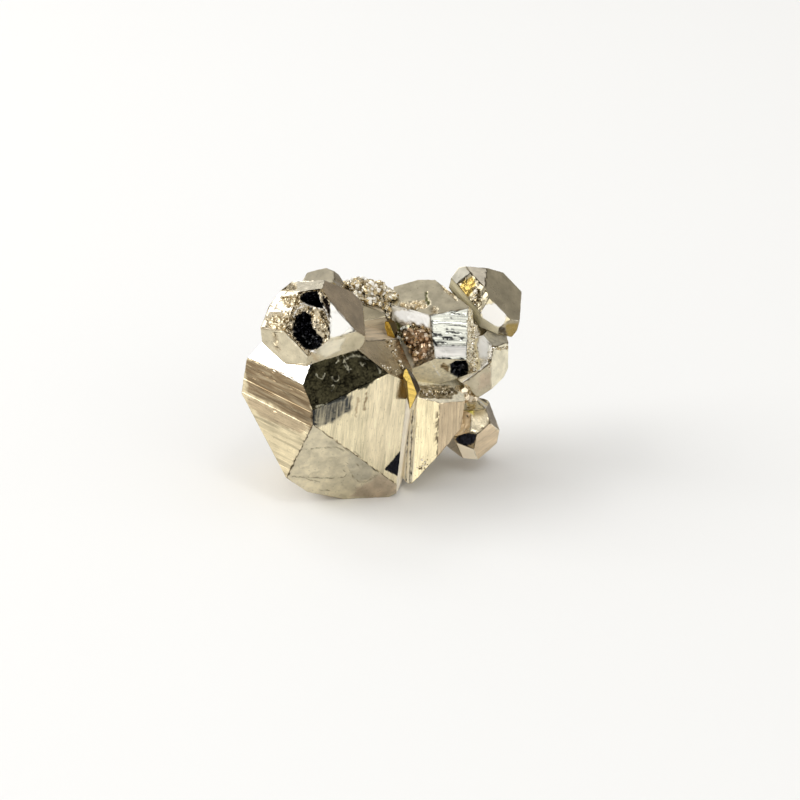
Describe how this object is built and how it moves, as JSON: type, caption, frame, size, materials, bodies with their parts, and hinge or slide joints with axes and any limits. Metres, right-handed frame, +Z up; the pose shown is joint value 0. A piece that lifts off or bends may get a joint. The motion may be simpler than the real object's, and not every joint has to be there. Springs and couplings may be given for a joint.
{
  "type": "pyrite specimen",
  "caption": "Cluster of intergrown brassy pyrite crystals, a large striated pyritohedral crystal with smaller crystals and granular druse, resting on a small flat face.",
  "frame": {"origin": "bottom centre of the bounding box, on the surface the specimen rests on", "axes": "+Z up; +X along the specimen's longest extent, to the viewer's right; -Y is the front with the large crystal"},
  "size_m": [0.041, 0.0336, 0.0331],
  "materials": {
    "main_crystal": "pale brassy pyrite, bright striated faces, one dull grey growth-marked face and one near-black pitted face",
    "upper_left_crystal": "pale brassy pyrite with a deeply pitted front",
    "upper_right_crystal": "olive brassy pyrite with golden tarnish patches",
    "centre_crystal": "grey-olive pyrite, strongly striated bright front",
    "right_front_crystal": "cream-bright pyrite with upright striations",
    "lower_right_crystal": "peach-toned brassy pyrite, smooth bright faces",
    "right_rear_crystal": "cream-bright pyrite, partly pitted",
    "rear_left_crystal": "olive pyrite, lightly matt",
    "rear_middle_crystal": "olive pyrite, lightly matt",
    "rear_foot_crystal": "olive pyrite, lightly matt",
    "granular_druse": "granular sparkling pyrite druse",
    "brown_druse": "brown iron-stained pyrite druse",
    "upper_flake": "golden tarnished flake",
    "lower_flake": "golden tarnished flake"
  },
  "bodies": {
    "root": {"main_crystal": "main_crystal", "upper_left_crystal": "upper_left_crystal", "upper_right_crystal": "upper_right_crystal", "centre_crystal": "centre_crystal", "right_front_crystal": "right_front_crystal", "lower_right_crystal": "lower_right_crystal", "right_rear_crystal": "right_rear_crystal", "rear_left_crystal": "rear_left_crystal", "rear_middle_crystal": "rear_middle_crystal", "rear_foot_crystal": "rear_foot_crystal", "granular_druse": "granular_druse", "brown_druse": "brown_druse", "upper_flake": "upper_flake", "lower_flake": "lower_flake"}
  },
  "joints": []
}
